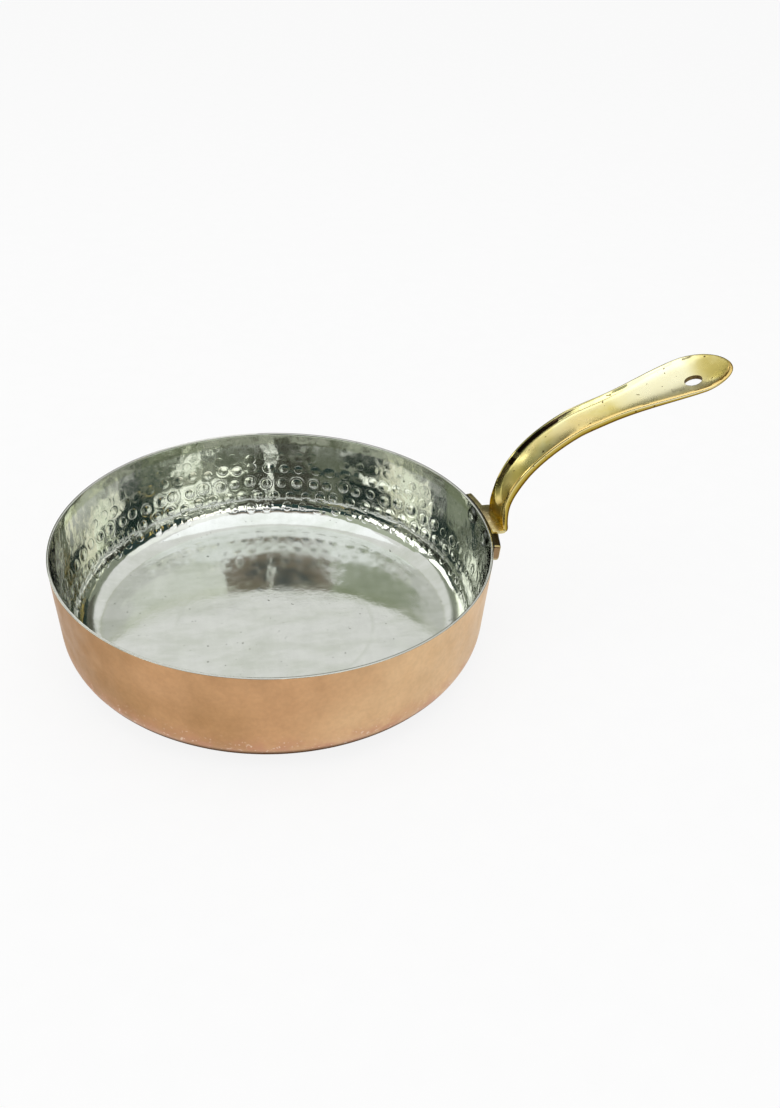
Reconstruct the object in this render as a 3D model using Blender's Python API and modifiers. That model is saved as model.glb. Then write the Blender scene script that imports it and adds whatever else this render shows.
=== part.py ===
"""A copper frying pan, tinned inside, with a cast brass handle held by two rivets.

Metres, +Z up. The origin is the centre of the base's underside, and the handle points along +X.
"""

import math

import bmesh
import bpy
from mathutils import Matrix, Vector

COLLECTION = "copper_frying_pan"

# Clearance between pieces that touch
SEAT_GAP = 0.0003

# The copper shell, measured on its outside
RIM_RADIUS = 0.120
PAN_HEIGHT = 0.0625
WALL_LEAN = math.radians(3.7)
CORNER_RADIUS = 0.022
COPPER_WALL = 0.0010
TIN_WALL = 0.0003

# The handle's flange: a band that hugs the wall, with an ear on each side
FLANGE_DROP = 0.0005  # its top, below the rim
FLANGE_HEIGHT = 0.0115
EAR_REACH = 0.0284  # from the handle's middle to the ear's end
EAR_THICKNESS = 0.0042
EAR_TOP_ROUND = 0.0012
EAR_BOTTOM_ROUND = 0.0052
FLANGE_EDGE_ROUND = 0.0011

# The ledge where the neck stands on the flange, and the rib under it
NECK_STANDOFF = 0.0074  # the neck's front, from the wall
LEDGE_WIDTH = 0.0288
LEDGE_THICKNESS = 0.0017
LEDGE_ROUND = 0.0026
RIB_WIDTH = 0.0100

# The handle's line, in its own upright plane, from the neck to the tip
NECK_ANGLE = math.radians(100)
BEND_REACH = 0.0443  # where the neck's bend ends, from the wall
BEND_RISE = 0.0582  # and above the rim
BEND_ANGLE = math.radians(30.7)
HANDLE_REACH = 0.1326  # the tip, from the wall
HANDLE_RISE = 0.0888
TIP_ANGLE = math.radians(6)
NECK_SWEEP = 0.0285  # how far each bend is drawn out
BEND_SWEEP = 0.023
SHANK_SWEEP = 0.010
TIP_SWEEP = 0.012

# The handle's widths and depths, and the shares of its length where it takes them
ROOT_WIDTH = 0.0268  # where it stands on the ledge
NECK_WIDTH = 0.0213
SHANK_WIDTH = 0.0240
SPOON_WIDTH = 0.0388
NECK_SHARE = 0.10
SHANK_SHARE = (0.34, 0.56)
SPOON_SHARE = 0.885
CAP_SHARE = 0.862  # where the round tip begins
ROOT_DEPTH = 0.0052
SHANK_DEPTH = 0.0084
SPOON_DEPTH = 0.0078
TIP_DEPTH = 0.0044
SHANK_DEPTH_SHARE = (0.2, 0.42)
EDGE_ROUND = 0.0006
SHANK_POWER = 2.15  # 2 is an ellipse, more is squarer
SPOON_POWER = 1.8

# The hollow along the top of the handle
RAIL = 0.0017  # the raised edge left on each side
LIP = 0.0021  # and round the tip
HOLLOW_DEPTH = 0.0042
SPOON_FLOOR = 0.0024  # what is left under the hollow in the round end
TIP_FLOOR = 0.0016
HOLLOW_START = 0.055  # share of the length where it begins
HOLLOW_ROUND = 0.05  # share over which its rounded start opens
HOLLOW_RISE = 0.004  # how far its cutter stands above the top face

# The hanging hole
HOLE_RADIUS = 0.0049
HOLE_FROM_TIP = 0.0220

# The rivets
RIVET_RADIUS = 0.0026
RIVET_SPREAD = 0.0126  # from the handle's middle
RIVET_DROP = 0.0057  # below the rim
HEAD_RADIUS = 0.0048  # the tinned head inside the pan
HEAD_HEIGHT = 0.0019
TAIL_RADIUS = 0.0035  # the peened end on the flange
TAIL_HEIGHT = 0.0013

# Smoothness of the round shapes
PAN_STEPS = 96
CORNER_STEPS = 8
FLANGE_STEPS = 240
RIVET_STEPS = 24
ARC_STEPS = 4
LINE_STATIONS = 26
TIP_STATIONS = 9
SECTION_STEPS = 14
LINE_SAMPLES = 240

MARGIN = 0.004  # how far a cutter runs past what it cuts


def clear_scene():
    for obj in list(bpy.data.objects):
        bpy.data.objects.remove(obj)


def new_collection(name, shown):
    collection = bpy.data.collections.new(name)
    collection.hide_render = not shown
    bpy.context.scene.collection.children.link(collection)
    return collection


def metal(name, colour, roughness):
    material = bpy.data.materials.new(name)
    material.use_nodes = True
    shader = material.node_tree.nodes["Principled BSDF"]
    shader.inputs["Base Color"].default_value = (*colour, 1)
    shader.inputs["Metallic"].default_value = 1
    shader.inputs["Roughness"].default_value = roughness
    return material


def place(obj, collection, material=None):
    """Links an object as a part, or as a cutter when it has no material."""
    collection.objects.link(obj)
    if material:
        obj.data.materials.append(material)
    else:
        obj.hide_render = True
        obj.display_type = "WIRE"
    return obj


def arc(centre, radius, start, end, steps):
    """Points along an arc in a plane, from the start angle to the end angle."""
    angles = [start + (end - start) * step / steps for step in range(steps + 1)]
    return [(centre[0] + radius * math.cos(a), centre[1] + radius * math.sin(a)) for a in angles]


def smooth_step(share):
    share = min(max(share, 0), 1)
    return share * share * (3 - 2 * share)


def turned(name, section, steps, closed=False):
    """A solid of revolution about Z from a half section of (radius, height) points."""
    mesh = bpy.data.meshes.new(name)
    edges = [(i, i + 1) for i in range(len(section) - 1)]
    if closed:
        edges.append((len(section) - 1, 0))
    mesh.from_pydata([(radius, 0, height) for radius, height in section], edges, [])
    obj = bpy.data.objects.new(name, mesh)
    screw = obj.modifiers.new("Screw", "SCREW")
    screw.steps = screw.render_steps = steps
    screw.use_merge_vertices = True
    screw.merge_threshold = 0.00001
    return obj


def outline_solid(name, outline, thickness, frame):
    """A flat outline with thickness on both sides of its plane, as a mesh placed by a matrix."""
    curve = bpy.data.curves.new(name + "_outline", "CURVE")
    curve.dimensions = "2D"
    curve.fill_mode = "BOTH"
    curve.extrude = thickness / 2
    spline = curve.splines.new("POLY")
    spline.points.add(len(outline) - 1)
    for point, (x, y) in zip(spline.points, outline):
        point.co = (x, y, 0, 1)
    spline.use_cyclic_u = True
    guide = bpy.data.objects.new(name + "_outline", curve)
    bpy.context.scene.collection.objects.link(guide)
    graph = bpy.context.evaluated_depsgraph_get()
    mesh = bpy.data.meshes.new_from_object(guide.evaluated_get(graph))
    bpy.data.objects.remove(guide)
    body = bmesh.new()
    body.from_mesh(mesh)
    bmesh.ops.remove_doubles(body, verts=body.verts, dist=0.00001)
    body.to_mesh(mesh)
    body.free()
    obj = bpy.data.objects.new(name, mesh)
    obj.matrix_world = frame
    return obj


def loft(name, rings):
    """A closed solid through rings of points, with a flat face on each end."""
    body = bmesh.new()
    loops = [[body.verts.new(point) for point in ring] for ring in rings]
    for lower, upper in zip(loops, loops[1:]):
        for i in range(len(lower)):
            after = (i + 1) % len(lower)
            body.faces.new((lower[i], lower[after], upper[after], upper[i]))
    body.faces.new(reversed(loops[0]))
    body.faces.new(loops[-1])
    bmesh.ops.recalc_face_normals(body, faces=body.faces)
    mesh = bpy.data.meshes.new(name)
    body.to_mesh(mesh)
    body.free()
    return bpy.data.objects.new(name, mesh)


def cylinder(name, radius, length, frame):
    """A cylinder about the frame's Z axis, centred on its origin."""
    body = bmesh.new()
    bmesh.ops.create_cone(body, cap_ends=True, segments=RIVET_STEPS, radius1=radius, radius2=radius, depth=length)
    mesh = bpy.data.meshes.new(name)
    body.to_mesh(mesh)
    body.free()
    obj = bpy.data.objects.new(name, mesh)
    obj.matrix_world = frame
    return obj


def boolean(obj, operation, other):
    modifier = obj.modifiers.new(other.name, "BOOLEAN")
    modifier.operation = operation
    modifier.object = other


# The pan's shell and lining


def corner_centre():
    """Where the corner's arc is centred, so that it meets the base and the leaning wall smoothly."""
    across = CORNER_RADIUS + (PAN_HEIGHT - CORNER_RADIUS) * math.sin(WALL_LEAN)
    return RIM_RADIUS - across / math.cos(WALL_LEAN), CORNER_RADIUS


def wall_radius(height, inset=0.0):
    """The wall's radius at a height, for the skin that lies inset inside the outer one."""
    return RIM_RADIUS - (PAN_HEIGHT - height) * math.tan(WALL_LEAN) - inset / math.cos(WALL_LEAN)


def skin(inset, top):
    """One skin's half section, from the axis out along the floor and up to a height."""
    corner = arc(corner_centre(), CORNER_RADIUS - inset, -math.pi / 2, -WALL_LEAN, CORNER_STEPS)
    return [(0, inset), *corner, (wall_radius(top, inset), top)]


def make_pan_body():
    top = PAN_HEIGHT - TIN_WALL - SEAT_GAP
    section = skin(COPPER_WALL, top) + skin(0, top)[::-1]
    return turned("pan_body", section, PAN_STEPS)


def make_tin_lining():
    """The lining covers the inside and turns over the rim's edge."""
    lip = PAN_HEIGHT - TIN_WALL
    outer_inset = COPPER_WALL + SEAT_GAP
    edge = [(RIM_RADIUS, PAN_HEIGHT), (wall_radius(lip), lip)]
    section = skin(outer_inset + TIN_WALL, PAN_HEIGHT) + edge + skin(outer_inset, lip)[::-1]
    return turned("tin_lining", section, PAN_STEPS)


# The handle


def bezier(points, share):
    a, b, c, d = points
    rest = 1 - share
    return a * rest**3 + b * 3 * rest**2 * share + c * 3 * rest * share**2 + d * share**3


def direction(angle):
    return Vector((math.cos(angle), 0, math.sin(angle)))


def handle_line():
    """The middle of the handle's top face, as points evenly spread along two joined curves."""
    root = Vector((wall_radius(PAN_HEIGHT) + NECK_STANDOFF, 0, PAN_HEIGHT - FLANGE_DROP - LEDGE_THICKNESS))
    bend = Vector((RIM_RADIUS + BEND_REACH, 0, PAN_HEIGHT + BEND_RISE))
    tip = Vector((RIM_RADIUS + HANDLE_REACH, 0, PAN_HEIGHT + HANDLE_RISE))
    neck = (root, root + direction(NECK_ANGLE) * NECK_SWEEP, bend - direction(BEND_ANGLE) * BEND_SWEEP, bend)
    shank = (bend, bend + direction(BEND_ANGLE) * SHANK_SWEEP, tip - direction(TIP_ANGLE) * TIP_SWEEP, tip)
    shares = [i / LINE_SAMPLES for i in range(LINE_SAMPLES + 1)]
    return [bezier(neck, s) for s in shares] + [bezier(shank, s) for s in shares[1:]]


class HandleFrame:
    """Where the handle's top face is at each share of its length, and which way it runs."""

    def __init__(self):
        self.points = handle_line()
        self.lengths = [0.0]
        for before, after in zip(self.points, self.points[1:]):
            self.lengths.append(self.lengths[-1] + (after - before).length)
        self.length = self.lengths[-1]

    def at(self, share):
        """The point, the direction along the handle and the direction out of its top face."""
        wanted = share * self.length
        index = 0
        while index < len(self.points) - 2 and self.lengths[index + 1] < wanted:
            index += 1
        step = self.points[index + 1] - self.points[index]
        point = self.points[index] + step.normalized() * (wanted - self.lengths[index])
        along = step.normalized()
        return point, along, Vector((-along.z, 0, along.x))


def handle_width(share):
    if share < NECK_SHARE:
        return ROOT_WIDTH + (NECK_WIDTH - ROOT_WIDTH) * smooth_step(share / NECK_SHARE)
    start, end = SHANK_SHARE
    shank = smooth_step((share - NECK_SHARE) / (start - NECK_SHARE))
    spoon = smooth_step((share - end) / (SPOON_SHARE - end))
    return NECK_WIDTH + (SHANK_WIDTH - NECK_WIDTH) * shank + (SPOON_WIDTH - SHANK_WIDTH) * spoon


def spoon_part(share):
    """0 along the shank and 1 in the round end, with a smooth change between."""
    return smooth_step((share - SHANK_DEPTH_SHARE[1]) / (SPOON_SHARE - SHANK_DEPTH_SHARE[1]))


def handle_depth(share):
    shank = ROOT_DEPTH + (SHANK_DEPTH - ROOT_DEPTH) * smooth_step(share / SHANK_DEPTH_SHARE[0])
    tip = smooth_step((share - CAP_SHARE) / (1 - CAP_SHARE))
    depth = shank + (SPOON_DEPTH - SHANK_DEPTH) * spoon_part(share) + (TIP_DEPTH - SPOON_DEPTH) * tip
    return depth * max(round_end(share, CAP_SHARE, 1), 0.02) ** 0.6


def section_power(share):
    return SHANK_POWER + (SPOON_POWER - SHANK_POWER) * spoon_part(share)


def round_end(share, start, end):
    """The part of the width left at a share between the start of a round end and its tip."""
    reach = (share - start) / (end - start)
    return math.sqrt(max(1 - max(reach, 0) ** 2, 0))


def stations(start, cap_start, cap_end):
    """Shares of the length for the rings: even up to the round end, then closer towards its tip."""
    even = [start + (cap_start - start) * i / LINE_STATIONS for i in range(LINE_STATIONS + 1)]
    last = math.radians(88)
    angles = [last * i / TIP_STATIONS for i in range(1, TIP_STATIONS + 1)]
    return even + [cap_start + (cap_end - cap_start) * math.sin(a) for a in angles]


def bowed(half_width, depth, power):
    """Half of a squarish ellipse below a line, as (across, up) points from one side to the other."""
    points = []
    for step in range(SECTION_STEPS + 1):
        angle = math.pi * step / SECTION_STEPS
        across = abs(math.cos(angle)) ** (2 / power) * math.copysign(1, math.cos(angle))
        points.append((half_width * across, -depth * math.sin(angle) ** (2 / power)))
    return points


def handle_section(share):
    """The handle's section: a flat top with rounded edges over a bowed underside."""
    half = handle_width(share) * round_end(share, CAP_SHARE, 1) / 2
    depth = handle_depth(share)
    corner = min(EDGE_ROUND, half / 3, depth / 3)
    under = [(across, up - corner) for across, up in bowed(half, depth - corner, section_power(share))]
    right_edge = arc((-half + corner, -corner), corner, math.pi, math.pi / 2, 2)[1:]
    left_edge = arc((half - corner, -corner), corner, math.pi / 2, 0, 2)[:-1]
    return under + right_edge + left_edge


def hollow_section(share, start, end):
    """The hollow's section: bowed below the top face, and standing above it to cut cleanly."""
    opening = round_end(HOLLOW_START + HOLLOW_ROUND - share, 0, HOLLOW_ROUND)
    closing = round_end(share, CAP_SHARE, end)
    half = (handle_width(share) / 2 - RAIL) * min(opening, closing)
    floor = SPOON_FLOOR + (TIP_FLOOR - SPOON_FLOOR) * smooth_step((share - CAP_SHARE) / (end - CAP_SHARE))
    spoon_depth = (handle_depth(share) - floor) * closing**0.3
    depth = HOLLOW_DEPTH + (spoon_depth - HOLLOW_DEPTH) * spoon_part(share)
    under = bowed(half, depth * opening**0.6, section_power(share))
    return under + [(-half, HOLLOW_RISE), (half, HOLLOW_RISE)]


def ring_points(frame, share, section):
    point, _, up = frame.at(share)
    return [point + Vector((0, across, 0)) + up * rise for across, rise in section]


def make_shank(frame):
    shares = stations(0, CAP_SHARE, 1)
    return loft("handle", [ring_points(frame, s, handle_section(s)) for s in shares])


def make_hollow(frame):
    end = 1 - LIP / frame.length
    opening = [HOLLOW_START + HOLLOW_ROUND * (1 - math.cos(math.radians(a))) for a in (4, 14, 26, 40, 56, 72)]
    shares = opening + stations(HOLLOW_START + HOLLOW_ROUND, CAP_SHARE, end)
    return loft("hollow", [ring_points(frame, s, hollow_section(s, HOLLOW_START, end)) for s in shares])


def make_flange_ring():
    """A band all round the pan, which the ears' outline then cuts to length."""
    top = PAN_HEIGHT - FLANGE_DROP
    bottom = top - FLANGE_HEIGHT
    outer = -SEAT_GAP - EAR_THICKNESS
    edge = FLANGE_EDGE_ROUND
    upper = arc((wall_radius(top, outer) - edge, top - edge), edge, math.pi / 2, 0, ARC_STEPS)
    lower = arc((wall_radius(bottom, outer) - edge, bottom + edge), edge, 0, -math.pi / 2, ARC_STEPS)
    inner = [(wall_radius(bottom, -SEAT_GAP), bottom), (wall_radius(top, -SEAT_GAP), top)]
    return turned("flange_ring", inner + upper + lower, FLANGE_STEPS, closed=True)


def upright_plane(x):
    """A plane square to the handle's direction: its first axis runs across the handle, its second up."""
    return Matrix(((0, 0, 1, x), (1, 0, 0, 0), (0, 1, 0, 0), (0, 0, 0, 1)))


def make_ears():
    """The ears' outline as seen from outside: square at the top, rounded below."""
    top = PAN_HEIGHT - FLANGE_DROP
    bottom = top - FLANGE_HEIGHT
    half = EAR_REACH
    upper, lower = EAR_TOP_ROUND, EAR_BOTTOM_ROUND
    outline = (
        arc((half - upper, top - upper), upper, 0, math.pi / 2, ARC_STEPS)
        + arc((-half + upper, top - upper), upper, math.pi / 2, math.pi, ARC_STEPS)
        + arc((-half + lower, bottom + lower), lower, math.pi, 3 * math.pi / 2, ARC_STEPS)
        + arc((half - lower, bottom + lower), lower, 3 * math.pi / 2, 2 * math.pi, ARC_STEPS)
    )
    return outline_solid("ears", outline, RIM_RADIUS, upright_plane(RIM_RADIUS))


def make_ledge():
    """The ledge in front of the neck's foot, seen from above: square at the wall, rounded outside."""
    half = LEDGE_WIDTH / 2
    inner = RIM_RADIUS + SEAT_GAP + EAR_THICKNESS / 3
    outer = RIM_RADIUS + NECK_STANDOFF + ROOT_DEPTH / 3
    round_ = LEDGE_ROUND
    outline = [(inner, -half), (outer - round_, -half)]
    outline += arc((outer - round_, -half + round_), round_, -math.pi / 2, 0, ARC_STEPS)
    outline += arc((outer - round_, half - round_), round_, 0, math.pi / 2, ARC_STEPS)
    outline += [(inner, half)]
    middle = PAN_HEIGHT - FLANGE_DROP - LEDGE_THICKNESS / 2
    return outline_solid("ledge", outline, LEDGE_THICKNESS, Matrix.Translation((0, 0, middle)))


def make_rib():
    """The rib under the neck, seen from the side, from the flange's foot to the neck's back."""
    top = PAN_HEIGHT - FLANGE_DROP - LEDGE_THICKNESS / 2
    bottom = PAN_HEIGHT - FLANGE_DROP - FLANGE_HEIGHT
    inner = RIM_RADIUS + SEAT_GAP + EAR_THICKNESS / 3
    face = wall_radius(bottom, -SEAT_GAP - EAR_THICKNESS)
    back = RIM_RADIUS + NECK_STANDOFF + ROOT_DEPTH * 0.85
    foot = bottom + FLANGE_EDGE_ROUND
    drop = (top - foot) * 0.22
    centre_angle = math.pi / 2
    sweep = arc((back, foot), 1, centre_angle, math.pi, ARC_STEPS * 2)
    curve = [(back + (x - back) * (back - face), foot + (z - foot) * (top - drop - foot)) for x, z in sweep]
    outline = [(inner, foot), (inner, top), (back, top), *curve]
    frame = Matrix(((1, 0, 0, 0), (0, 0, -1, 0), (0, 1, 0, 0), (0, 0, 0, 1)))
    return outline_solid("rib", outline, RIB_WIDTH, frame)


def rivet_frame(side):
    """A rivet's place: origin on the wall's outer face, Z straight out of the leaning wall."""
    turn = math.asin(RIVET_SPREAD / RIM_RADIUS)
    height = PAN_HEIGHT - RIVET_DROP
    out = Matrix.Translation((wall_radius(height), 0, height)) @ Matrix.Rotation(math.pi / 2 + WALL_LEAN, 4, "Y")
    return Matrix.Rotation(side * turn, 4, "Z") @ out


def cut_rivet_holes(obj, cutters, group):
    for side, name in ((-1, "right"), (1, "left")):
        hole = cylinder(f"{group}_hole_{name}", RIVET_RADIUS + SEAT_GAP, 2 * NECK_STANDOFF, rivet_frame(side))
        place(hole, cutters)
        boolean(obj, "DIFFERENCE", hole)


def make_handle(cutters):
    frame = HandleFrame()
    handle = make_shank(frame)
    ring = place(make_flange_ring(), cutters)
    boolean(ring, "INTERSECT", place(make_ears(), cutters))
    boolean(handle, "UNION", place(make_ledge(), cutters))
    boolean(handle, "UNION", place(make_rib(), cutters))
    boolean(handle, "UNION", ring)
    boolean(handle, "DIFFERENCE", place(make_hollow(frame), cutters))
    point, along, up = frame.at(1 - HOLE_FROM_TIP / frame.length)
    across = up.cross(along)
    hole_frame = Matrix.Translation(point) @ Matrix((along, across, up)).transposed().to_4x4()
    boolean(handle, "DIFFERENCE", place(cylinder("hanging_hole", HOLE_RADIUS, 6 * MARGIN, hole_frame), cutters))
    return handle


# The rivets


def make_rivet(name, side):
    """A turned rivet: a domed head inside the pan, a shank through the walls, a peened end outside."""
    sag = HEAD_RADIUS**2 / (2 * (RIM_RADIUS - COPPER_WALL))
    head = -(COPPER_WALL + 2 * SEAT_GAP + TIN_WALL + sag)
    tail = 2 * SEAT_GAP + EAR_THICKNESS
    dome = []
    for step in range(ARC_STEPS * 2 + 1):
        angle = math.pi / 2 * step / (ARC_STEPS * 2)
        dome.append((HEAD_RADIUS * math.sin(angle), head - HEAD_HEIGHT * math.cos(angle)))
    button = []
    for step in range(ARC_STEPS + 1):
        angle = math.pi / 2 * step / ARC_STEPS
        button.append((TAIL_RADIUS * math.cos(angle), tail + TAIL_HEIGHT * math.sin(angle)))
    section = dome + [(RIVET_RADIUS, head), (RIVET_RADIUS, tail)] + button
    rivet = turned(name, section[::-1], RIVET_STEPS)
    rivet.matrix_world = rivet_frame(side)
    return rivet


def build():
    clear_scene()
    parts = new_collection(COLLECTION, shown=True)
    cutters = new_collection("cutters", shown=False)
    copper = metal("satin_copper", (0.72, 0.38, 0.22), 0.28)
    tin = metal("wiped_tin", (0.62, 0.63, 0.60), 0.22)
    brass = metal("polished_brass", (0.80, 0.60, 0.22), 0.16)

    pan_body = place(make_pan_body(), parts, copper)
    cut_rivet_holes(pan_body, cutters, "body")
    lining = place(make_tin_lining(), parts, tin)
    cut_rivet_holes(lining, cutters, "lining")
    handle = place(make_handle(cutters), parts, brass)
    cut_rivet_holes(handle, cutters, "flange")
    place(make_rivet("rivet_left", 1), parts, tin)
    place(make_rivet("rivet_right", -1), parts, tin)
    for obj in parts.objects:
        obj.data.shade_smooth()
        obj.data.set_sharp_from_angle(angle=math.radians(35))


build()
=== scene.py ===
# %% [markdown]
# # A copper frying pan, dressed for a picture
# The pan is a raised copper shell, tinned inside, with a cast brass handle that two rivets hold.
# The frame below brings in its solid model. Each piece is then made again here with the fine
# shapes that the solids leave out: hammer marks, a rolled rim, thin rails along the handle.

# %% Load the frame
import random
from math import asin, copysign, cos, exp, hypot, pi, radians, sin, sqrt, tan, tau

import bmesh
import bpy
from mathutils import Matrix, Vector, kdtree, noise


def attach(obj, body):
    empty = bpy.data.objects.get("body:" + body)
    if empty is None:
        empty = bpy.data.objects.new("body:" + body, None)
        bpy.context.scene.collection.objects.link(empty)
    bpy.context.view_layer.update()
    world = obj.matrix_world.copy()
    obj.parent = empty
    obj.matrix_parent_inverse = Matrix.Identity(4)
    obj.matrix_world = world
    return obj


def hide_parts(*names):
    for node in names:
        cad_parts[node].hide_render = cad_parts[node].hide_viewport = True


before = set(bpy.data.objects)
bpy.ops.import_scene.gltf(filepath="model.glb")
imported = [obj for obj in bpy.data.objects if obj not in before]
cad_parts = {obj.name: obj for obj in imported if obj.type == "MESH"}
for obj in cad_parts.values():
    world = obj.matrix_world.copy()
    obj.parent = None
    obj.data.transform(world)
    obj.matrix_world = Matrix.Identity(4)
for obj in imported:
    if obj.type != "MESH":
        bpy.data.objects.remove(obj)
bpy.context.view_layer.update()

# %% [markdown]
# ## Sizes
# The pieces here keep to the sizes of the solid model, because someone may drill, cut or print it
# from those numbers. The pan's own sizes come first, in metres. Those of the rivets, the handle
# and the flange follow with their pieces.

# %% The pan's sizes
RIM_RADIUS = 0.120
PAN_HEIGHT = 0.0625
WALL_LEAN = radians(3.7)
CORNER_RADIUS = 0.022
COPPER_WALL = 0.0010
TIN_WALL = 0.0003
SEAT_GAP = 0.0003
TIN_SKIN = COPPER_WALL + SEAT_GAP + TIN_WALL  # from the copper's outside to the tin's face


def wall_radius(height, inset=0.0):
    """The leaning wall's radius at a height, for a skin that lies inset inside the outer one."""
    return RIM_RADIUS - (PAN_HEIGHT - height) * tan(WALL_LEAN) - inset / cos(WALL_LEAN)


print(f"wall at the rim {wall_radius(PAN_HEIGHT):.4f} m")
print(f"wall above the corner {wall_radius(CORNER_RADIUS):.4f} m")

# %% [markdown]
# ## Camera
# The photograph looks down at the pan by about 34 degrees, with the handle pointing right and away.
# The camera's place was worked out from the rim's ellipse. Fitting the frame by its height keeps
# the view the same whatever the picture's width is.

# %% The camera at the photograph's view
scene = bpy.context.scene
CAMERA_HEADING = radians(14.5)  # from the pan's Y axis, towards its handle
CAMERA_DIP = radians(33.918)
CAMERA_ROLL = radians(2.983)
CAMERA_DISTANCE = 0.600
CAMERA_LENS, FRAME_HEIGHT = 36.28, 36  # millimetres
LOOKED_AT = Vector((0.0588, -0.0274, PAN_HEIGHT))

level = Vector((sin(CAMERA_HEADING), cos(CAMERA_HEADING), 0))
sight = level * cos(CAMERA_DIP) - Vector((0, 0, sin(CAMERA_DIP)))
camera = bpy.data.objects.new("camera", bpy.data.cameras.new("camera"))
camera.matrix_world = (
    Matrix.Translation(LOOKED_AT - sight * CAMERA_DISTANCE)
    @ sight.to_track_quat("-Z", "Y").to_matrix().to_4x4()
    @ Matrix.Rotation(CAMERA_ROLL, 4, "Z")
)
camera.data.sensor_fit = "VERTICAL"
camera.data.sensor_height = FRAME_HEIGHT
camera.data.lens = CAMERA_LENS
camera.data.clip_start = 0.01
scene.collection.objects.link(camera)
scene.camera = camera
scene.view_settings.view_transform = "Standard"
print("camera at", [round(value, 4) for value in camera.matrix_world.translation])

# %% [markdown]
# ## Making materials
# A metal's look is its colour, its gloss and the small unevenness of both. These helpers make a
# Principled shader and the few nodes that each finish below is built from. The nodes read Object
# coordinates, so a pattern stays on its piece from every side. A socket knows its tree by id_data.


# %% Helpers that add a node
def new_material(name, metallic=1.0):
    material = bpy.data.materials.new(name)
    material.use_nodes = True
    shader = material.node_tree.nodes["Principled BSDF"]
    shader.inputs["Metallic"].default_value = metallic
    return material, material.node_tree, shader


def add_node(tree, kind, links=(), **settings):
    """A node of a kind. Links are (input, output to take it from), settings are its own."""
    node = tree.nodes.new("ShaderNode" + kind)
    for key, value in settings.items():
        if hasattr(node, key):
            setattr(node, key, value)
        else:
            node.inputs[key].default_value = value
    for socket, output in links:
        tree.links.new(output, node.inputs[socket])
    return node


def feed(socket, value):
    """Gives a socket a value: another node's output, a colour, or a number."""
    if isinstance(value, bpy.types.NodeSocket):
        socket.id_data.links.new(value, socket)
    else:
        socket.default_value = (*value, 1) if isinstance(value, tuple) else value


def cover(shader, colour, gloss, bumps=None):
    """Gives a shader its colour, its roughness and its bumps."""
    feed(shader.inputs["Base Color"], colour)
    feed(shader.inputs["Roughness"], gloss)
    if bumps:
        feed(shader.inputs["Normal"], bumps)


def object_place(tree, scale=(1, 1, 1)):
    """Object coordinates in metres, stretched by a scale."""
    coordinates = add_node(tree, "TexCoord")
    links = [("Vector", coordinates.outputs["Object"])]
    return add_node(tree, "Mapping", links, Scale=scale).outputs["Vector"]


def attribute(tree, name):
    """A number that the points of the mesh carry."""
    return add_node(tree, "Attribute", attribute_name=name).outputs["Fac"]


print("node helpers ready")


# %% Helpers that change a value or a colour
def noise_at(place, scale, detail=3.0, roughness=0.5):
    settings = {"Scale": scale, "Detail": detail, "Roughness": roughness}
    return add_node(place.id_data, "TexNoise", [("Vector", place)], **settings).outputs["Fac"]


def ramp(value, stops):
    """A smooth change through (position, colour) stops. A plain number stands for a grey."""
    node = add_node(value.id_data, "ValToRGB", [("Fac", value)])
    node.color_ramp.interpolation = "EASE"
    for index, (position, colour) in enumerate(stops):
        elements = node.color_ramp.elements
        stop = elements[index] if index < 2 else elements.new(position)
        stop.position = position
        stop.color = (*colour, 1) if isinstance(colour, tuple) else (colour, colour, colour, 1)
    return node.outputs["Color"]


def blended(tree, blend, share, first, second):
    node = add_node(tree, "Mix", data_type="RGBA", blend_type=blend)
    for index, value in ((0, share), (6, first), (7, second)):
        feed(node.inputs[index], value)
    return node.outputs[2]


def mixed(share, first, second):
    """Mixes two colours. Each may be a node's output or a plain colour."""
    return blended(share.id_data, "MIX", share, first, second)


def multiplied(first, second):
    """One colour darkened by another."""
    return blended(first.id_data, "MULTIPLY", 1.0, first, second)


def laid_over(colour, top, value, stops):
    """A colour with another on top of it, as far as the ramp of a value says."""
    return mixed(ramp(value, stops), colour, top)


def math_of(operation, first, second):
    node = add_node(first.id_data, "Math", operation=operation)
    feed(node.inputs[0], first)
    feed(node.inputs[1], second)
    return node.outputs[0]


def times(value, factor):
    return math_of("MULTIPLY", value, factor)


def bumped(height, depth, strength=1.0, under=None):
    """A bump whose full height is a depth in metres, on top of another bump if one is given."""
    links = [("Height", height)] + ([("Normal", under)] if under else [])
    node = add_node(height.id_data, "Bump", links, Distance=depth, Strength=strength)
    return node.outputs["Normal"]


print("colour helpers ready")

# %% [markdown]
# ## Making shapes
# Every shape is built as a bmesh and then becomes an object. Round things are spun: a chain of
# points is turned once round the Z axis, and the spin closes on itself.


# %% Helpers for shapes
def clamped(share):
    return min(max(share, 0), 1)


def ease(share):
    """A smooth step from 0 to 1."""
    share = clamped(share)
    return share * share * (3 - 2 * share)


def between(first, second, share):
    return first + (second - first) * share


def new_object(name, body, material):
    """Puts a bmesh into the scene as an object of one material."""
    mesh = bpy.data.meshes.new(name)
    body.to_mesh(mesh)
    body.free()
    mesh.materials.append(material)
    obj = bpy.data.objects.new(name, mesh)
    scene.collection.objects.link(obj)
    return obj


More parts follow.
